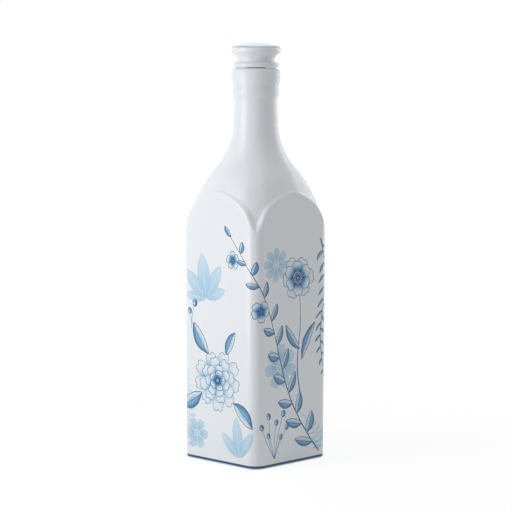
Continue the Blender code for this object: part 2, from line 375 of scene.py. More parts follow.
def arched_radius(value, turned_radius, height, inset, along, across):
    """The radius of the turned form where the square body holds it, with the arches at its shoulder."""
    foot, top = value["Half side at foot"], value["Half side at top"]
    half = foot + (top - foot) * (height / value["Top height"])
    corner = (value["Corner radius"] - inset).math("MAXIMUM", LEAST_CORNER)
    square = rounded_square(half - inset, corner, along, across)
    outward = along.math("MAXIMUM", across)
    lean = along.math("MINIMUM", across) / outward

    # the shoulder is flattened above each flat side, which lowers its arch, and filled out lower down,
    # where it shows only between two arches, while the poles stay closed
    flattened = value["Arch drop"] * (1 - rise(lean, *FLAT_LEANS)) * (1 - rise(height, *FLAT_HEIGHTS))
    creep = value["Corner creep"] * (1 - rise(height, *CREEP_HEIGHTS))
    shoulder = turned_radius + (creep - flattened) * (turned_radius > 0.0)
    past_arch = ((half - inset) / outward - shoulder) / (lean * lean + SHOULDER_LEAN).math("SQRT")

    # an arched ledge ends each flat side: past it the shoulder runs down into a side set a little
    # deeper, most so towards the corners
    clear = rise(height, *LEDGE_HEIGHTS)
    depth_share = LEDGE_AT_TOP + (1 - LEDGE_AT_TOP) * rise(lean, *DEEPER_LEANS)
    depth = value["Ledge depth"] * clear * depth_share
    blend = LEAST_BLEND + value["Shoulder blend"] * clear
    behind = (square - depth).math("SMOOTH_MIN", shoulder, blend)
    ledge_width = value["Ledge width"] * (1 + LEDGE_SPREAD * rise(lean, *WIDER_LEANS))
    ledge = rise(past_arch, 0.0, ledge_width)

    # outside the ledge a bank leads down into a shallow moat, and low between two arches into a hollow
    width = value["Bank width"]
    bank = (past_arch / width).math("SMOOTH_MIN", 1.0, BANK_ROUNDING).math("MAXIMUM", 0.0)
    hollow = value["Hollow depth"] * rise(height, *HOLLOW_FOOT) * (1 - rise(height, *HOLLOW_TOP))
    moat = value["Moat depth"] * clear * (1 - rise(past_arch, width, width + MOAT_RUN))
    return square + (behind - bank * (hollow + moat) - square) * ledge


CORNER_PULL = 0.5
WHOLE_NUMBER_GUARD = 0.00001
SEAM_GAP = 0.00001
UNDERSIDE_RUN = FOOT_RIM + RECESS + 2 * HALF_SIDE_AT_TOP
INSIDE_RUN = LIP - FLOOR + 2 * HALF_SIDE_AT_TOP
UNDERSIDE_SHARE, OUTSIDE_SHARE, INSIDE_SHARE = 0.05, 0.83, 0.12


def body_tree():
    """A turned form held in a square prism: a ring of points round the axis for each profile point."""
    inputs = {
        "Profile": "NodeSocketGeometry",
        "Steps round": "NodeSocketInt",
        **dict.fromkeys(BODY_SIZES, "NodeSocketFloat"),
        "Material": "NodeSocketMaterial",
    }
    outputs = {"Body": "NodeSocketGeometry"}
    graph, value = new_tree("square_turned_body", "GeometryNodeTree", inputs, outputs)
    steps = value["Steps round"]

    mesh_part = {"component": "MESH"}
    rows = graph.add("GeometryNodeAttributeDomainSize", mesh_part, (value["Profile"],))
    grid = graph.add("GeometryNodeMeshGrid", {}, {"Vertices X": rows, "Vertices Y": steps + 1})
    index = graph.add("GeometryNodeInputIndex")
    row = (index / (steps + 1)).math("FLOOR")
    column = index % (steps + 1)

    def from_profile(kind, field):
        """What a field says at the profile point of a row."""
        sampled = {"Geometry": value["Profile"], "Value": field, "Index": row}
        return graph.add("GeometryNodeSampleIndex", {"data_type": kind, "domain": "POINT"}, sampled)

    def carried(name):
        """What the profile carries under a name, at the point of a row."""
        field = graph.add("GeometryNodeInputNamedAttribute", {"data_type": "FLOAT"}, (name,))
        return from_profile("FLOAT", field)

    place = from_profile("FLOAT_VECTOR", graph.add("GeometryNodeInputPosition"))
    turned_radius, _, height = parted(place)
    inset, run = carried("inset"), carried("height")

    # the quarter turn that a column is in, from the middle of one side to the middle of the next,
    # with the columns drawn together towards the corner
    quarters = column * 4 / steps
    quarter = (quarters + WHOLE_NUMBER_GUARD).math("FLOOR")
    share = quarters - quarter
    share = share + (share * math.tau).math("SINE") * (CORNER_PULL / math.tau)
    turn = share * (math.pi / 2)
    along, across = turn.math("COSINE"), turn.math("SINE")
    radius = arched_radius(value, turned_radius, height, inset, along, across)
    angle = (quarter + share) * (math.pi / 2) + math.pi
    x, y = radius * angle.math("COSINE"), radius * angle.math("SINE")
    placed = {"Geometry": grid, "Position": joined(x, y, height)}
    shaped = graph.add("GeometryNodeSetPosition", {}, placed)

    # the distance round the square body, which unrolls its sides onto a plane
    nominal, corner = value["Half side at top"], value["Corner radius"]
    reach = rounded_square(nominal, corner, along, across)
    flat = nominal - corner
    side_x, side_y = reach * along, reach * across
    past_x, past_y = (side_x - flat).math("MAXIMUM", 0.0), (side_y - flat).math("MAXIMUM", 0.0)
    round_corner = corner * past_y.math("ARCTAN2", past_x)
    quarter_length = 2 * flat + corner * (math.pi / 2)
    around = side_y.math("MINIMUM", flat) + round_corner + flat - side_x.math("MINIMUM", flat)
    around = around + quarter * quarter_length

    # a second map fills a square for the export: the underside at its foot, the inside at its top
    under_foot = (1 + run / UNDERSIDE_RUN).math("MINIMUM", 1.0)
    outside = (run / LIP).math("MAXIMUM", 0.0).math("MINIMUM", 1.0)
    past_lip = ((run - LIP) / INSIDE_RUN).math("MAXIMUM", 0.0)
    up = UNDERSIDE_SHARE * under_foot + OUTSIDE_SHARE * outside + INSIDE_SHARE * past_lip
    maps = {"unrolled": joined(around, run), "OFBake": joined(around / quarter_length / 4, up)}

    held = graph.tree.nodes.new("GeometryNodeCaptureAttribute")
    held.domain = "POINT"
    for name in maps:
        held.capture_items.new("VECTOR", name)
    graph.tree.links.new(shaped.socket, held.inputs["Geometry"])
    stored = Wire(graph, held.outputs["Geometry"])
    on_corners = {"data_type": "FLOAT2", "domain": "CORNER"}
    for name, map_wire in maps.items():
        graph.tree.links.new(map_wire.socket, held.inputs[name])
        kept = {"Geometry": stored, "Name": name, "Value": Wire(graph, held.outputs[name])}
        stored = graph.add("GeometryNodeStoreNamedAttribute", on_corners, kept)
    closed = graph.add("GeometryNodeMergeByDistance", {}, {"Geometry": stored, "Distance": SEAM_GAP})
    smooth = graph.add("GeometryNodeSetShadeSmooth", {}, (closed,))
    realised = graph.add("GeometryNodeRealizeInstances", {}, (smooth,))
    dressed = {"Geometry": realised, "Material": value["Material"]}
    graph.add("NodeGroupOutput", {}, (graph.add("GeometryNodeSetMaterial", {}, dressed),))
    return graph.tree


def plain_mesh(obj):
    """The evaluated mesh of an object, as its own mesh with no modifier left."""
    evaluated = obj.evaluated_get(bpy.context.evaluated_depsgraph_get())
    mesh = bpy.data.meshes.new_from_object(evaluated)
    obj.modifiers.clear()
    old = obj.data
    obj.data = mesh
    bpy.data.meshes.remove(old)
    mesh.name = obj.name


def colour(red, green, blue):
    """A colour written as on screen, from 0 to 255, turned into Blender's own numbers."""
    shares = [value / 255 for value in (red, green, blue)]
    return (*(v / 12.92 if v < 0.04045 else ((v + 0.055) / 1.055) ** 2.4 for v in shares), 1.0)


# The decoration is drawn in mm, and MM turns metres into them. A line's or an edge's blur is how far the
# colour runs beside it, and a tone says how much blue a line holds, from 0 to 1.
MM = 1000
PEN_BLUR, EDGE_BLUR, SOFT_BLUR = 0.10, 0.12, 0.35
OUTLINE_WIDTH, OUTLINE_TONE = 0.46, 0.95
MIDRIB_WIDTH, MIDRIB_TONE = 0.42, 0.86
VEIN_WIDTH, VEIN_TONE = 0.28, 0.66
HATCH_WIDTH, HATCH_TONE = 0.26, 0.86
FAN_WIDTH, FAN_TONE = 0.24, 0.78
PETAL_SIDE_WIDTH, PETAL_SIDE_TONE = 0.40, 0.86


def painted_line(distance, width, blur=PEN_BLUR):
    """1 on a line of a width, 0 beside it, from the distance to its middle."""
    return rise(abs(distance), width / 2 + blur, width / 2 - blur)


def inside(distance, blur=EDGE_BLUR):
    """1 where a distance to an edge is below nothing, 0 outside."""
    return rise(distance, blur, -blur)


def cover(under, over, mask):
    """Paint laid over what is under it, where the mask is 1."""
    return under + (over - under) * mask


def darkest(*washes):
    """The deepest of several washes."""
    deepest = washes[0]
    for wash in washes[1:]:
        deepest = deepest.math("MAXIMUM", wash)
    return deepest


def reach_of(x, y):
    """The distance of a point from the spot where x and y are nothing."""
    return joined(x, y).vector("LENGTH")


def standing(plane, spot, along, across):
    """A motif's own x and y: where a point of the plane lies from a spot, along and across a direction."""
    moved = plane.vector("SUBTRACT", spot)
    return moved.vector("DOT_PRODUCT", along), moved.vector("DOT_PRODUCT", across)


def leaf_edge(x, y, length, width):
    """Distance to the edge of a pointed leaf that lies along x from the spot it grows from."""
    half_length, half_width = length / 2, width / 2
    bow = (half_length * half_length + half_width * half_width) / width
    return reach_of(x - half_length, abs(y) + (bow - half_width)) - bow


LEAF_BEND = 0.25
LEAF_VEINS = 7
HATCH_PITCH = 1.3
VEIN_SLANT = 1.3


def ink_leaf(paint, x, y, length, width, tone):
    """A leaf along x in pen and wash: a dark hatched half and a pale one, with midrib and veins."""
    from_middle = x - length / 2
    y = y + from_middle * from_middle * LEAF_BEND / length
    edge = leaf_edge(x, y, length, width)
    depth = edge / width * -2
    dark = rise(y, -0.3, 0.3)
    pale_wash = 0.07 + 0.34 * rise(depth, 0.2, 1.0)
    dark_wash = 0.66 - 0.30 * rise(depth, 0.0, 0.8)
    slant = x - abs(y) * VEIN_SLANT
    vein_pitch = length / LEAF_VEINS
    veins = painted_line(slant % vein_pitch - vein_pitch / 2, VEIN_WIDTH) * VEIN_TONE
    hatching = painted_line(slant % HATCH_PITCH - HATCH_PITCH / 2, HATCH_WIDTH) * dark * HATCH_TONE
    midrib = painted_line(y, MIDRIB_WIDTH) * MIDRIB_TONE
    drawn = darkest(cover(pale_wash, dark_wash, dark), veins, hatching, midrib)
    paint = cover(paint, drawn * tone, inside(edge))
    return darkest(paint, painted_line(edge, OUTLINE_WIDTH) * tone * OUTLINE_TONE)


def pale_leaf(paint, x, y, length, width, tone):
    """The soft silhouette of a leaf, deeper at its foot, with its midrib left bare."""
    edge = leaf_edge(x, y, length, width)
    shade = tone * (1.25 - 0.6 * x / length) + 0.07 * rise(edge, -1.0, 0.0)
    bare_midrib = 1 - 0.6 * painted_line(y, 0.6, 0.25)
    return darkest(paint, shade * bare_midrib * inside(edge, SOFT_BLUR))


def on_stem(x, y, length, leaf, pitch, stagger, lean, taper):
    """The x and y of a point in the leaf nearest to it, and that leaf's length, on a stem along x."""
    upper = y > 0.0
    cell = x / pitch + stagger * upper
    number = cell.math("FLOOR")
    share = number * pitch / length
    reach = leaf * (1.05 - taper * share)
    turned = lean + 0.10 * (number * 2.4 + upper * 1.3).math("SINE")
    cosine, sine = turned.math("COSINE"), turned.math("SINE")
    past, aside = (cell - number) * pitch, abs(y)
    out_of_sight = 500.0 * (1 - (number > 0.5) * (share < 0.98))
    leaf_x = past * cosine + aside * sine - out_of_sight
    return leaf_x, aside * cosine - past * sine, reach


def draw_leaf(paint, plane, spot, along, across, length, width, tone):
    """A single leaf in pen and wash."""
    x, y = standing(plane, spot, along, across)
    return ink_leaf(paint, x, y, length, width, tone)


def draw_pale_leaf(paint, plane, spot, along, across, length, width, tone):
    """The silhouette of a single leaf."""
    x, y = standing(plane, spot, along, across)
    return pale_leaf(paint, x, y, length, width, tone)


def draw_spray(paint, plane, spot, along, across, length, sway, leaf, slimness, pitch, tone):
    """A stem that sways once each way, with leaves in turn on its two sides, shorter to its tip."""
    x, y = standing(plane, spot, along, across)
    share = x / length
    y = y - sway * (share * math.tau).math("SINE")
    stem = painted_line(y, 1.05 - 0.65 * share) * (share > 0.0) * (share < 1.0)
    paint = darkest(paint, stem * tone * 0.92)
    leaf_x, leaf_y, reach = on_stem(x, y, length, leaf, pitch, 0.5, 0.86, 0.55)
    return ink_leaf(paint, leaf_x, leaf_y, reach, slimness * reach, tone)


def draw_fern(paint, plane, spot, along, across, length, sway, leaf, slimness, pitch, tone):
    """The silhouette of a fern: slim leaflets in pairs along a bent rib."""
    x, y = standing(plane, spot, along, across)
    share = x / length
    y = y - sway * share * share
    rib = painted_line(y, 0.7, 0.25) * (share > 0.0) * (share < 1.0)
    paint = darkest(paint, rib * tone)
    leaf_x, leaf_y, reach = on_stem(x, y, length, leaf, pitch, 0.0, 1.22, 0.98)
    return pale_leaf(paint, leaf_x, leaf_y, reach, slimness * reach, tone)


def draw_petals(paint, radius, turn, count, reach, start, veins, depth):
    """One ring of petals with notched tips, fanning veins and a wash that deepens inwards."""
    across = ((turn * (count / math.tau) + start) % 1.0) * 2 - 1
    bow = abs(across) ** 2.6
    notch = painted_line(across, 0.34, 0.16) * 0.06
    uneven = (turn * 3 + start * 9).math("SINE") * 0.04
    edge = radius - (0.97 + uneven - 0.30 * bow - notch) * reach
    share = radius / reach
    petal_width = radius * math.pi / count
    fan = ((across * veins) % 1.0 - 0.5) * petal_width / veins
    fine = painted_line(fan, FAN_WIDTH) * rise(share, 0.96, 0.40) * FAN_TONE
    shade = depth * rise(share, 0.80, 0.22) + 0.16 * bow + 0.10 * rise(across, 0.1, 0.9) + 0.03
    side = painted_line((1 - abs(across)) * petal_width, PETAL_SIDE_WIDTH) * PETAL_SIDE_TONE
    paint = cover(paint, darkest(shade, fine, side), inside(edge))
    return darkest(paint, painted_line(edge, OUTLINE_WIDTH) * OUTLINE_TONE)


def draw_dots(paint, radius, turn, count, place, size, tone):
    """A ring of dots, as stamens are drawn: dark, or left bare on a dark heart."""
    along = ((turn * (count / math.tau)) % 1.0 - 0.5) * (math.tau * place / count)
    return cover(paint, tone, inside(reach_of(along, radius - place) - size))


def draw_pale_bloom(paint, plane, spot, along, across, size, count, tone):
    """The soft silhouette of a flower, its notched petals parted by bare lines."""
    x, y = standing(plane, spot, along, across)
    radius, turn = reach_of(x, y), y.math("ARCTAN2", x)
    aside = ((turn * (count / math.tau)) % 1.0) * 2 - 1
    notch = painted_line(aside, 0.3, 0.2) * 0.07
    edge = radius - (1.0 - 0.42 * abs(aside) ** 2.4 - notch) * size
    gap = painted_line((1 - abs(aside)) * radius * math.pi / count, 0.8, 0.4)
    heart = painted_line(radius - 0.22 * size, 0.8, 0.3)
    shade = tone * (0.75 + 0.55 * rise(radius / size, 0.9, 0.3)) + 0.07 * rise(edge, -1.3, 0.0)
    bare_lines = 1 - 0.7 * gap.math("MAXIMUM", heart)
    return darkest(paint, shade * bare_lines * inside(edge, SOFT_BLUR))


STALK_WIDTH, STALK_BEND, STALK_TONE = 0.34, 0.16, 0.85
BUD_OUTLINE_WIDTH = 0.38


def draw_bud(paint, plane, spot, along, across, length, size, tone):
    """A fine stalk from a spot to a round bud with a bare glint."""
    x, y = standing(plane, spot, along, across)
    share = x / length
    stalk = painted_line(y - share * (1 - share) * STALK_BEND * length, STALK_WIDTH)
    paint = darkest(paint, stalk * (share > 0.0) * (share < 1.0) * STALK_TONE * tone)
    edge = reach_of((x - length) * 0.86, y) - size
    glint = inside(reach_of(x - length + 0.35 * size, y - 0.3 * size) - 0.34 * size)
    fill = (0.40 + 0.40 * rise(y / size, 0.5, -0.7)) * (1 - 0.8 * glint)
    paint = cover(paint, fill * tone, inside(edge))
    return darkest(paint, painted_line(edge, BUD_OUTLINE_WIDTH) * tone)


ON_PLANE = {
    "Paint": "NodeSocketFloat",
    "Plane": "NodeSocketVector",
    "Spot": "NodeSocketVector",
    "Along": "NodeSocketVector",
    "Across": "NodeSocketVector",
}
ROUND_MIDDLE = dict.fromkeys(("Paint", "Radius", "Turn"), "NodeSocketFloat")


def motif(name, draw, places, *sizes):
    """A node group that draws one kind of motif over the paint that it is given."""
    inputs = {**places, **dict.fromkeys(sizes, "NodeSocketFloat")}
    graph, given = new_tree(name, "ShaderNodeTree", inputs, {"Paint": "NodeSocketFloat"})
    graph.add("NodeGroupOutput", {}, (draw(*given.values()),))
    return graph.tree


SPRAY_SIZES = ("Length", "Sway", "Leaf", "Slimness", "Pitch", "Tone")
LEAF = motif("leaf", draw_leaf, ON_PLANE, "Length", "Width", "Tone")
PALE_LEAF = motif("pale_leaf", draw_pale_leaf, ON_PLANE, "Length", "Width", "Tone")
PALE_BLOOM = motif("pale_bloom", draw_pale_bloom, ON_PLANE, "Size", "Petals", "Tone")
SPRAY = motif("spray", draw_spray, ON_PLANE, *SPRAY_SIZES)
FERN = motif("fern", draw_fern, ON_PLANE, *SPRAY_SIZES)
BUD = motif("bud", draw_bud, ON_PLANE, "Length", "Size", "Tone")
PETALS = motif("petals", draw_petals, ROUND_MIDDLE, "Petals", "Reach", "Start", "Veins", "Depth")
DOTS = motif("dots", draw_dots, ROUND_MIDDLE, "Dots", "Place", "Size", "Tone")


def heading(turn):
    """The directions along and across a turn in degrees."""
    along = (math.cos(math.radians(turn)), math.sin(math.radians(turn)), 0.0)
    return along, (-along[1], along[0], 0.0)


def painted(paint, tree, plane, spot, turn, *sizes):
    """Adds a motif of a kind at a spot, turned by degrees, with its sizes in the order of its sockets."""
    sockets = (paint, plane, (*spot, 0.0), *heading(turn), *sizes)
    return paint.graph.add("ShaderNodeGroup", {"node_tree": tree}, sockets)


FLOWER_SQUASH = 1.08
HEART_SHARE = 0.11


def open_flower(paint, plane, spot, turn, size, rings, stamens):
    """An open flower: rings of petals from the outside in, then its heart and stamens."""
    graph = paint.graph
    along, across = heading(turn)
    squashed = tuple(FLOWER_SQUASH * part for part in across)
    x, y = standing(plane, (*spot, 0.0), along, squashed)
    radius, angle = reach_of(x, y), y.math("ARCTAN2", x)
    for count, share, start, veins, depth in rings:
        sockets = (paint, radius, angle, count, share * size, start, veins, depth)
        paint = graph.add("ShaderNodeGroup", {"node_tree": PETALS}, sockets)
    heart = inside(radius - HEART_SHARE * size)
    paint = cover(paint, 0.30 + 0.60 * rise(radius, 0.0, HEART_SHARE * size), heart)
    for count, share, dot, tone in stamens:
        sockets = (paint, radius, angle, count, share * size, dot, tone)
        paint = graph.add("ShaderNodeGroup", {"node_tree": DOTS}, sockets)
    return paint


# Places are in mm on the unrolled sides, from the front corner: the left side runs to -74.6 and the
# right side to 74.6, and the other two sides repeat them. Angles are in degrees from straight right.
# A ring of petals: count, reach as a share of the flower, start, veins and depth of its wash.
PEONY_RINGS = (
    (9, 1.0, 0.0, 3.5, 0.42),
    (8, 0.77, 0.45, 2.5, 0.50),
    (7, 0.55, 0.15, 2.5, 0.58),
    (5, 0.34, 0.60, 1.5, 0.66),
)
ANEMONE_RINGS = ((6, 1.0, 0.10, 4.5, 0.85), (6, 0.82, 0.62, 3.5, 0.85))
BLOSSOM_RINGS = ((5, 1.0, 0.2, 2.5, 0.60),)
# A flower: spot, turn, size, petals, and its rings of stamens as count, share, dot and tone.
FLOWERS = (
    ((-38.0, 62.0), 12.0, 25.0, PEONY_RINGS, ((15, 0.17, 0.42, 0.95), (19, 0.24, 0.36, 0.95))),
    ((42.0, 138.0), -20.0, 17.5, ANEMONE_RINGS, ((13, 0.17, 0.40, 0.06), (19, 0.25, 0.46, 0.06))),
    ((4.0, 116.0), 40.0, 8.5, BLOSSOM_RINGS, ((9, 0.30, 0.40, 0.95),)),
    ((-22.0, 152.0), 75.0, 7.0, BLOSSOM_RINGS, ((9, 0.30, 0.36, 0.95),)),
)
# Leaves and buds: spot, turn, length, then width or size.
LEAVES = (
    ((-54.0, 50.0), 208.0, 26.0, 10.5),
    ((-20.0, 48.0), -42.0, 25.0, 10.0),
    ((-49.0, 80.0), 126.0, 27.0, 10.0),
    ((-30.0, 82.0), 62.0, 20.0, 7.5),
    ((43.0, 84.0), 128.0, 24.0, 6.5),
    ((45.0, 78.0), 62.0, 30.0, 7.0),
    ((-24.2, 168.7), 131.0, 10.0, 3.8),
    ((73.3, 62.3), -71.0, 6.5, 1.7),
)
BUDS = (
    ((-66.0, 98.0), 78.0, 20.0, 2.3),
    ((-63.0, 98.0), 108.0, 14.0, 1.9),
    ((18.0, 6.0), 118.0, 28.0, 1.9),
    ((18.0, 6.0), 101.0, 33.0, 2.0),
    ((18.0, 6.0), 86.0, 27.0, 1.8),
    ((18.0, 6.0), 74.0, 34.0, 2.0),
    ((18.0, 6.0), 60.0, 26.0, 1.9),
    ((18.0, 6.0), 110.0, 19.0, 1.7),
    ((18.0, 6.0), 67.0, 17.0, 1.7),
)
PALE_LEAVES = (
    ((-50.0, 122.0), 98.0, 34.0, 13.0),
    ((-50.0, 122.0), 58.0, 30.0, 11.0),
    ((-50.0, 122.0), 138.0, 30.0, 11.0),
    ((-50.0, 122.0), 20.0, 22.0, 8.5),
    ((-50.0, 122.0), 176.0, 22.0, 8.5),
    ((-15.0, 7.0), 97.0, 31.0, 10.0),
    ((-15.0, 7.0), 57.0, 24.0, 8.5),
    ((-15.0, 7.0), 138.0, 25.0, 8.5),
)
# A pale bloom: spot, turn, size and petals.
PALE_BLOOMS = (
    ((24.0, 74.0), 10.0, 17.0, 7),
    ((-60.0, 20.0), 30.0, 12.0, 6),
    ((19.0, 149.0), 20.0, 13.0, 8),
)
# The hanging willow, a flower's stalk and the long branch: spot, turn, then length, sway, leaf,
# slimness, pitch and tone.
SPRAYS = (
    ((66.0, 166.0), -86.0, 104.0, 4.5, 11.0, 0.20, 9.0, 0.9),
    ((45.0, 52.0), 92.0, 80.0, 2.2, 0.5, 0.2, 70.0, 0.9),
    ((66.0, 6.0), 119.0, 186.0, 6.5, 18.5, 0.40, 19.0, 1.0),
)
# The ferns: spot, turn and length, then the sway, leaf, slimness, pitch and tone that they share.
FERNS = (((3.0, 6.0), 80.0, 62.0), ((-2.0, 6.0), 118.0, 40.0))
FERN_SIZES = (9.0, 13.0, 0.24, 4.4, 0.24)
PALE_TONE, BUD_TONE, LEAF_TONE = 0.23, 0.9, 1.0
GROOVE_POOL_WIDTH, GROOVE_POOL_BLUR, GROOVE_POOL_TONE = 3.0, 2.0, 0.015
# The blue band round the foot is set lower, wider and darker than the band alone, so that it also holds
# painted contact shadow where the bottle stands.
BASE_BAND_AND_SHADOW_HEIGHT, BASE_BAND_AND_SHADOW_WIDTH, BASE_BAND_AND_SHADOW_BLUR, BASE_BAND_AND_SHADOW_TONE = 1.8, 1.7, 0.25, 0.93


def decoration(plane, side_plane, height):
    """How much blue lies on the porcelain, from 0, bare, to 1, full: the motifs from back to front."""
    paint = 0.0 * height
    for leaf in PALE_LEAVES:
        paint = painted(paint, PALE_LEAF, plane, *leaf, PALE_TONE)
    for bloom in PALE_BLOOMS:
        paint = painted(paint, PALE_BLOOM, plane, *bloom, PALE_TONE)
    for fern in FERNS:
        paint = painted(paint, FERN, side_plane, *fern, *FERN_SIZES)
    for spray in SPRAYS:
        paint = painted(paint, SPRAY, plane, *spray)
    for bud in BUDS:
        paint = painted(paint, BUD, plane, *bud, BUD_TONE)
    for leaf in LEAVES:
        paint = painted(paint, LEAF, plane, *leaf, LEAF_TONE)
    for flower in FLOWERS:
        paint = open_flower(paint, plane, *flower)
    # the glaze pools a little bluer in the groove of the neck
    pool = painted_line(height - MM * GROOVE[1], GROOVE_POOL_WIDTH, GROOVE_POOL_BLUR)
    # the painted blue band at the foot, merged with painted contact shadow along the bottom edge
    base_band_and_shadow = painted_line(height - BASE_BAND_AND_SHADOW_HEIGHT, BASE_BAND_AND_SHADOW_WIDTH, BASE_BAND_AND_SHADOW_BLUR)
    return darkest(paint, pool * GROOVE_POOL_TONE, base_band_and_shadow * BASE_BAND_AND_SHADOW_TONE)


BARE_PORCELAIN = colour(238, 242, 246)
PIGMENT = (
    (0.0, BARE_PORCELAIN),
    (0.22, colour(185, 216, 236)),
    (0.50, colour(97, 160, 203)),
    (0.78, colour(30, 92, 145)),
    (1.0, colour(13, 51, 98)),
)
UNGLAZED = colour(236, 231, 222)
BARE_FOOT, BARE_BLUR = (-5.4, 0.7), 0.2
GLAZE_ROUGHNESS = 0.22
GLAZE_UNEVENNESS = 0.05
BARE_ROUGHNESS = 0.5
GLAZE_BEND = 1.5
RIPPLE_SCALE = 70.0
RIPPLE_STRENGTH = 0.6
RIPPLE_DEPTH = 0.00006
GRAIN_SHARE = 0.04
GRAIN_SCALE, POOL_SCALE, SWAY_SCALE = 700.0, 110.0, 180.0
SWAY = 0.9
EVEN_WASH, GRAINED_WASH, POOLED_WASH = 0.72, 0.30, 0.26


def emptied(owner):
    """The cleared node tree of a new material or world, ready to be drawn in."""
    owner.use_nodes = True
    owner.node_tree.nodes.clear()
    return Graph(owner.node_tree)


def new_material(name):
    """An empty material, and where a point lies on the piece that has it, in the frame's own metres."""
    material = bpy.data.materials.new(name)
    return material, emptied(material).add("ShaderNodeTexCoord", {}, {}, "Object")


def noise(place, scale, detail=3.0, output=0):
    """An uneven field round 0.5, with about as many humps to the metre as its scale."""
    sockets = {"Vector": place, "Scale": scale, "Detail": detail}
    return place.graph.add("ShaderNodeTexNoise", {}, sockets, output)


def tinted(under, over, mask):
    """A colour laid over another where the mask is 1."""
    colours = {"Factor": mask, 6: under, 7: over}
    return mask.graph.add("ShaderNodeMix", {"data_type": "RGBA"}, colours, 2)


def finish(tint, roughness, relief, strength, depth, bend):
    """The end of a material: its colour, roughness, fine relief, and how strongly it bends light."""
    graph = relief.graph
    bump = graph.add("ShaderNodeBump", {}, {"Strength": strength, "Distance": depth, "Height": relief})
    sockets = {"Base Color": tint, "Roughness": roughness, "IOR": bend, "Normal": bump}
    graph.add("ShaderNodeOutputMaterial", {}, (graph.add("ShaderNodeBsdfPrincipled", {}, sockets),))


def fired(place, tint, grain, pool, bare):
    """Porcelain of a tint under a clear glaze that ripples and shines unevenly, or bare and matt."""
    ripple = noise(place, RIPPLE_SCALE, 2.0) + GRAIN_SHARE * grain
    roughness = GLAZE_ROUGHNESS + GLAZE_UNEVENNESS * pool + BARE_ROUGHNESS * bare
    finish(tint, roughness, ripple, RIPPLE_STRENGTH, RIPPLE_DEPTH, GLAZE_BEND)


def porcelain_material():
    """White glazed porcelain, painted in blues under the glaze, with a bare foot ring."""
    material, place = new_material("decorated_porcelain")
    graph = place.graph
    unrolled_x, unrolled_y, _ = parted(graph.add("ShaderNodeUVMap", {"uv_map": "unrolled"}))
    height = unrolled_y * MM

    # the sides in pairs, in mm from the corner between them, with the brush's slight sway
    quarter = MM * (2 * (HALF_SIDE_AT_TOP - CORNER) + CORNER * math.pi / 2)
    sway_x, sway_y, _ = parted(noise(place, SWAY_SCALE, 2.0, "Color"))
    run = unrolled_x * MM - 0.5 * quarter
    around = run % (2 * quarter) - quarter + (sway_x - 0.5) * SWAY
    beside = (run + quarter) % (2 * quarter) - quarter + (sway_x - 0.5) * SWAY
    swayed_height = height + (sway_y - 0.5) * SWAY
    blue = decoration(joined(around, swayed_height), joined(beside, swayed_height), height)

    grain, pool = noise(place, GRAIN_SCALE), noise(place, POOL_SCALE)
    blue = blue * (EVEN_WASH + GRAINED_WASH * grain + POOLED_WASH * pool)
    pigment = graph.add("ShaderNodeValToRGB", {"stops": PIGMENT}, (blue,), "Color")
    bare = inside(height - BARE_FOOT[1], BARE_BLUR) * (height > BARE_FOOT[0])
    fired(place, tinted(pigment, UNGLAZED, bare), grain, pool, bare)
    return material


body = profile_object("bottle_skin", body_profile())
modifier = body.modifiers.new("Body", "NODES")
modifier.node_group = body_tree()
amounts = {"Steps round": ROUND_STEPS, **BODY_SIZES, "Material": porcelain_material()}
for name, amount in amounts.items():
    modifier[modifier.node_group.interface.items_tree[name].identifier] = amount
bpy.context.view_layer.update()
plain_mesh(body)
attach(body, "bottle")
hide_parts("bottle_body")

# Knob
# A porcelain button, cast and glazed like the bottle. A soft blue-grey line round its rim is partly
# brushed, partly painted shade in the crease of the dome.
# Its hollow waist is what the fingers grip, its flange sits on the lip, and a socket below takes the plug.

KNOB_BASE, KNOB_TOP = (corner.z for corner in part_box("stopper_knob"))
KNOB_RADIUS = 0.01825
DOME_EDGE = (0.0162, KNOB_TOP - 0.0026)
RIM_DEPTH = 0.0039
RIM_ROUNDING = 0.0010
WAIST_RADIUS = 0.01395
WAIST_CURVE = 0.0057
WAIST_HEIGHT = KNOB_TOP - 0.0134
FLANGE_EDGE = (0.01575, KNOB_TOP - 0.01645)
FLANGE_ROUNDING = 0.00125
FLANGE_FOOT = (0.0020, 0.0016)
SOCKET_RADIUS = 0.0073
SOCKET_CHAMFER = 0.0004
SOCKET_TOP = KNOB_BASE + 0.0092
TURNED_STEPS = 160
SMOOTH_ANGLE = math.radians(38)
DOME_STEPS, RIM_STEPS, LOW_RIM_STEPS = 18, 12, 5
WAIST_STEPS, FLANGE_STEPS, FLANGE_FOOT_STEPS = 14, 8, 7


def turned(name, profile, material, steps=TURNED_STEPS):
    """A profile of (r, z) points turned round the axis; points on the axis become poles."""
    shape = bmesh.new()
    rings = []
    turns = [math.tau * step / steps for step in range(steps)]
    for r, z in profile:
        if r == 0:
            rings.append([shape.verts.new((0.0, 0.0, z))] * steps)
        else:
            rings.append([shape.verts.new((r * math.cos(turn), r * math.sin(turn), z)) for turn in turns])
    if profile[0][0] > 0:
        rings.append(rings[0])
    for low, high in zip(rings, rings[1:]):
        for step in range(steps):
            after = (step + 1) % steps
            corners = dict.fromkeys((low[step], low[after], high[after], high[step]))
            shape.faces.new(list(corners))
    bmesh.ops.recalc_face_normals(shape, faces=shape.faces)
    mesh = bpy.data.meshes.new(name)
    shape.to_mesh(mesh)
    shape.free()
    mesh.shade_smooth()
    mesh.set_sharp_from_angle(angle=SMOOTH_ANGLE)
    mesh.materials.append(material)
    return linked(name, mesh)


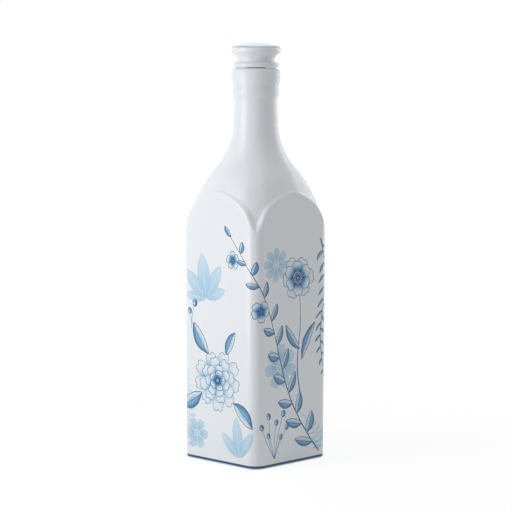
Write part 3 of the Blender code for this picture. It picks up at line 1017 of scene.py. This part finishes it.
def knob_profile():
    """From the middle of the dome over the rim, waist and flange to the end of the socket."""
    drop = KNOB_TOP - DOME_EDGE[1]
    sphere = (DOME_EDGE[0] ** 2 + drop**2) / (2 * drop)
    edge_turn = math.pi / 2 - math.asin(DOME_EDGE[0] / sphere)
    dome = arc((0.0, KNOB_TOP - sphere), sphere, math.pi / 2, edge_turn, DOME_STEPS)
    rim_centre = (DOME_EDGE[0], DOME_EDGE[1] - RIM_DEPTH)
    rim = oval(rim_centre, (KNOB_RADIUS - DOME_EDGE[0], RIM_DEPTH), math.pi / 2, 0, RIM_STEPS)
    low_rim_centre = (KNOB_RADIUS - RIM_ROUNDING, rim_centre[1])
    low_rim = arc(low_rim_centre, RIM_ROUNDING, 0, -math.pi / 4, LOW_RIM_STEPS)
    waist_centre = (WAIST_RADIUS + WAIST_CURVE, WAIST_HEIGHT)
    waist = arc(waist_centre, WAIST_CURVE, 3 * math.pi / 4, math.pi, WAIST_STEPS)
    flange = arc(FLANGE_EDGE, FLANGE_ROUNDING, math.radians(65), math.radians(-10), FLANGE_STEPS)
    foot_centre = (flange[-1][0] - FLANGE_FOOT[0], KNOB_BASE + FLANGE_FOOT[1])
    foot = oval(foot_centre, FLANGE_FOOT, 0, -math.pi / 2, FLANGE_FOOT_STEPS)
    waist_foot = (WAIST_RADIUS + 0.1 * FLANGE_ROUNDING, WAIST_HEIGHT - 0.6 * FLANGE_ROUNDING)
    waist_turn = (WAIST_RADIUS + 0.4 * FLANGE_ROUNDING, WAIST_HEIGHT - 0.9 * FLANGE_ROUNDING)
    socket = [
        (SOCKET_RADIUS + SOCKET_CHAMFER, KNOB_BASE),
        (SOCKET_RADIUS, KNOB_BASE + SOCKET_CHAMFER),
        (SOCKET_RADIUS, SOCKET_TOP - SOCKET_CHAMFER),
        (SOCKET_RADIUS - SOCKET_CHAMFER, SOCKET_TOP),
        (0.0, SOCKET_TOP),
    ]
    upper = [(0.0, KNOB_TOP)] + dome[1:] + rim[1:] + low_rim[1:]
    return upper + waist + [waist_foot, waist_turn] + flange + foot + socket


# In mm, as the decoration is.
RIM_LINE_DROP, RIM_LINE_WIDTH, RIM_LINE_BLUR = 3.4, 1.3, 0.4
WAIST_POOL_WIDTH, WAIST_POOL_BLUR = 4.0, 2.5
# the rim line's grey-blue is partly a brushed line and partly painted shade in the crease between dome and
# rim
CREASE_LINE_AND_SHADE = colour(170, 183, 196)
POOLED_GLAZE = colour(233, 238, 243)


def knob_material():
    """The same glazed porcelain, with a soft blue-grey line where the dome meets the rim: partly a brushed
    line, partly painted shade in that crease.
    """
    material, place = new_material("knob_porcelain")
    height = parted(place)[2] * MM
    grain, pool = noise(place, GRAIN_SCALE), noise(place, POOL_SCALE)
    waist = painted_line(height - MM * WAIST_HEIGHT, WAIST_POOL_WIDTH, WAIST_POOL_BLUR)
    below_crease = height - (MM * KNOB_TOP - RIM_LINE_DROP)
    line = painted_line(below_crease + 0.6 * (pool - 0.5), RIM_LINE_WIDTH, RIM_LINE_BLUR)
    glaze = tinted(BARE_PORCELAIN, POOLED_GLAZE, waist)
    # the rim line, partly brushed blue and partly painted shade in the crease
    lined_and_shaded = tinted(glaze, CREASE_LINE_AND_SHADE, line * (0.55 + 0.8 * pool - 0.3 * grain))
    fired(place, lined_and_shaded, grain, pool, 0.0)
    return material


knob = turned("knob_skin", knob_profile(), knob_material())
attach(knob, "stopper")
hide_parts("stopper_knob")

# Plug
# One moulding of ivory plastic. Its spigot is glued into the knob's socket, its shank hangs in the neck,
# and three grooves hold the seal rings.

PLUG_LOW, PLUG_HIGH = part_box("stopper_plug")
PLUG_RADIUS = 0.0092
SPIGOT_RADIUS = 0.0070
PLUG_NOSE = 0.0016
PLUG_EDGE = 0.00015
GROOVE_FLOOR = 0.0082
GROOVE_CLEARANCE = 0.0003
DISH = (0.0052, 0.0007)
RING_NODES = ("seal_ring_upper", "seal_ring_middle", "seal_ring_lower")


def plug_profile():
    """From the top of the spigot down the shank and its grooves to the dished nose."""
    top, nose = PLUG_HIGH.z, PLUG_LOW.z
    profile = [(0.0, top), (SPIGOT_RADIUS - 2 * PLUG_EDGE, top), (SPIGOT_RADIUS, top - 2 * PLUG_EDGE)]
    profile += [(SPIGOT_RADIUS, LIP), (PLUG_RADIUS - PLUG_EDGE, LIP), (PLUG_RADIUS, LIP - PLUG_EDGE)]
    for node in RING_NODES:
        low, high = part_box(node)
        groove_top, groove_foot = high.z + GROOVE_CLEARANCE, low.z - GROOVE_CLEARANCE
        profile += [
            (PLUG_RADIUS, groove_top + PLUG_EDGE),
            (PLUG_RADIUS - PLUG_EDGE, groove_top),
            (GROOVE_FLOOR, groove_top),
            (GROOVE_FLOOR, groove_foot),
            (PLUG_RADIUS - PLUG_EDGE, groove_foot),
            (PLUG_RADIUS, groove_foot - PLUG_EDGE),
        ]
    profile += arc((PLUG_RADIUS - PLUG_NOSE, nose + PLUG_NOSE), PLUG_NOSE, 0, -math.pi / 2, 8)
    profile += oval((DISH[0] - 2 * DISH[1], nose), (2 * DISH[1], DISH[1]), 0, math.pi / 2, 5)
    return profile + [(0.0, nose + DISH[1])]


IVORY, SCUFFED_IVORY = colour(207, 204, 193), colour(190, 185, 170)
MOULD_GRAIN_SCALE, CLOUD_SCALE = 3200.0, 240.0
SCUFF_STRETCH = (900.0, 900.0, 70.0)
PARTING_WIDTH, PARTING_BLUR = 0.12, 0.05
GATE_RADIUS, GATE_WIDTH, GATE_REACH = 1.3, 0.25, 1.5
WORN_RADIUS = MM * GROOVE_FLOOR + 0.6
PLUG_ROUGHNESS, PLUG_WEAR = 0.36, 0.16
PLUG_RELIEF, PLUG_BEND = 0.0001, 1.5


def plug_material():
    """Ivory plastic as it leaves a mould: fine grain, a parting line, a gate mark and light scuffs."""
    material, place = new_material("plug_plastic")
    x, y, z = parted(place)
    across, height, radius = y * MM, z * MM, reach_of(x, y) * MM
    grain, cloud = noise(place, MOULD_GRAIN_SCALE, 2.0), noise(place, CLOUD_SCALE, 4.0)
    scuffs = rise(noise(place.vector("MULTIPLY", SCUFF_STRETCH), 1.0), 0.5, 0.8)
    parting = painted_line(across, PARTING_WIDTH, PARTING_BLUR)
    gate = painted_line(radius - GATE_RADIUS, GATE_WIDTH) * (height < MM * PLUG_LOW.z + GATE_REACH)
    worn = 0.5 * cloud + 0.5 * scuffs * (radius > WORN_RADIUS)
    relief = 0.03 * grain + 0.25 * parting + 0.5 * gate - 0.10 * scuffs
    roughness = PLUG_ROUGHNESS + PLUG_WEAR * worn
    finish(tinted(IVORY, SCUFFED_IVORY, worn), roughness, relief, 0.8, PLUG_RELIEF, PLUG_BEND)
    return material


plug = turned("plug_moulding", plug_profile(), plug_material())
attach(plug, "stopper")
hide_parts("stopper_plug")

# Seal rings
# Three moulded rings of milky silicone, stretched over the plug into its grooves. Their domed outer
# faces press against the bore.

RING_INNER = 0.0085
RING_CORNER = 0.0002
RING_STEPS, RING_CROWN_STEPS = 96, 16
MILKY, CLOUDED = colour(201, 208, 212), colour(184, 193, 199)
MILK_SCALE, MATT_SCALE = 420.0, 4200.0
SILICONE_ROUGHNESS, SILICONE_UNEVENNESS = 0.30, 0.18
SILICONE_RELIEF, SILICONE_BEND = 0.00003, 1.41


def ring_material():
    """Milky silicone: cloudy, satin, with the mould's fine matt grain."""
    material, place = new_material("seal_silicone")
    cloud, grain = noise(place, MILK_SCALE), noise(place, MATT_SCALE, 2.0)
    roughness = SILICONE_ROUGHNESS + SILICONE_UNEVENNESS * cloud
    finish(tinted(MILKY, CLOUDED, cloud), roughness, grain, 0.6, SILICONE_RELIEF, SILICONE_BEND)
    return material


silicone = ring_material()
for node in RING_NODES:
    low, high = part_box(node)
    half_height = (high.z - low.z) / 2
    crown = ((high.x - RING_INNER) / 2, half_height)
    middle = (high.x - crown[0], low.z + half_height)
    section = oval(middle, crown, math.pi / 2, -math.pi / 2, RING_CROWN_STEPS)
    section += [(RING_INNER + RING_CORNER, low.z), (RING_INNER, low.z + RING_CORNER)]
    section += [(RING_INNER, high.z - RING_CORNER), (RING_INNER + RING_CORNER, high.z)]
    ring = turned(node + "_moulding", section, silicone, RING_STEPS)
    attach(ring, "seals")
    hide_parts(node)

# Floor
# A plain pale studio floor. The camera and reflections see it lifted to white, with the shadow left in.

FLOOR_REACH = 6.0
FLOOR_TONE = 0.86
FLOOR_LIGHT = 0.70
SHADOW_SHARE = 0.25
SHADOW_REACH = 0.12

floor_grid = bmesh.new()
bmesh.ops.create_grid(floor_grid, x_segments=1, y_segments=1, size=FLOOR_REACH)
floor_mesh = bpy.data.meshes.new("studio_floor")
floor_grid.to_mesh(floor_mesh)
floor_grid.free()
floor = linked("studio_floor", floor_mesh)


def seen_directly(graph):
    """1 for what the camera, a reflection or glass sees, 0 for the light that falls on the bottle."""
    path = graph.add("ShaderNodeLightPath")
    mirrored = path.output("Is Glossy Ray").math("MAXIMUM", path.output("Is Transmission Ray"))
    return path.output("Is Camera Ray").math("MAXIMUM", mirrored)


floor_material, place = new_material("studio_floor")
graph = place.graph
seen = seen_directly(graph)
tone, shadow = (FLOOR_TONE,) * 3 + (1.0,), (SHADOW_SHARE,) * 3 + (1.0,)
matt = graph.add("ShaderNodeBsdfDiffuse", {}, {"Color": tone})
dim = graph.add("ShaderNodeBsdfDiffuse", {}, {"Color": shadow})
lift = graph.add("ShaderNodeEmission", {}, {"Strength": 1.0 - SHADOW_SHARE * FLOOR_LIGHT})
near = graph.add("ShaderNodeAddShader", {}, (dim, lift))
white = graph.add("ShaderNodeEmission", {}, {"Strength": 1.0})
far = rise(place.vector("LENGTH"), SHADOW_REACH, 3.0 * SHADOW_REACH)
shown = graph.add("ShaderNodeMixShader", {}, (far, near, white))
surface = graph.add("ShaderNodeMixShader", {}, (seen, matt, shown))
graph.add("ShaderNodeOutputMaterial", {}, (surface,))
floor_mesh.materials.append(floor_material)

# Light
# A tall soft box on the left, a wider one behind on the right, a weak one overhead and a small one over
# the knob. A pale surround fills the shadows, and is seen as white.

SURROUND = 0.43

CAMERA_AZIMUTH = math.radians(44.56)
BOTTLE_MIDDLE = Vector((0.0, 0.0, 0.15))
TO_CAMERA = Vector((math.sin(CAMERA_AZIMUTH), -math.cos(CAMERA_AZIMUTH), 0.0))
TO_RIGHT = Vector((math.cos(CAMERA_AZIMUTH), math.sin(CAMERA_AZIMUTH), 0.0))

world = bpy.data.worlds.new("surround")
bpy.context.scene.world = world
graph = emptied(world)
strength = seen_directly(graph).math("MAXIMUM", SURROUND)
even = graph.add("ShaderNodeBackground", {}, {"Color": (1.0, 1.0, 1.0, 1.0), "Strength": strength})
graph.add("ShaderNodeOutputWorld", {}, (even,))

# Each box: its place to the right, towards the camera and up, its width and height, and its watts.
SOFT_BOXES = {
    "key_box": (-0.45, 0.20, 0.14, (0.25, 1.0), 2.23),
    "rim_box": (0.69, -0.58, 0.20, (0.6, 0.9), 2.10),
    "top_box": (0.05, -0.05, 1.00, (0.8, 0.8), 0.8),
    "knob_box": (0.0, 0.0, 0.42, (0.06, 0.06), 0.038),
}
for name, (right, forward, height, size, power) in SOFT_BOXES.items():
    light = bpy.data.lights.new(name, "AREA")
    light.shape = "RECTANGLE"
    light.size, light.size_y = size
    light.energy = power
    box = linked(name, light)
    box.location = TO_RIGHT * right + TO_CAMERA * forward + Vector((0.0, 0.0, height))
    box.rotation_mode = "QUATERNION"
    box.rotation_quaternion = (BOTTLE_MIDDLE - box.location).to_track_quat("-Z", "Y")

# Camera
# It stands where the photograph was taken from, with one upright corner of the bottle towards it.

CAMERA_DISTANCE = 1.453
CAMERA_HEIGHT = 0.295
CAMERA_PITCH = math.radians(5.640)
CAMERA_ROLL = math.radians(0.14)
FOCAL_PIXELS = 1957.5
FRAME_PIXELS = 512.0
SENSOR_WIDTH = 36.0

camera_data = bpy.data.cameras.new("camera")
camera_data.sensor_width = SENSOR_WIDTH
camera_data.lens = SENSOR_WIDTH * FOCAL_PIXELS / FRAME_PIXELS
camera = linked("camera", camera_data)
camera.location = (
    CAMERA_DISTANCE * math.sin(CAMERA_AZIMUTH),
    -CAMERA_DISTANCE * math.cos(CAMERA_AZIMUTH),
    CAMERA_HEIGHT,
)
camera.rotation_euler = (math.pi / 2 - CAMERA_PITCH, -CAMERA_ROLL, CAMERA_AZIMUTH)
bpy.context.scene.camera = camera

bpy.context.scene.view_settings.view_transform = "Standard"
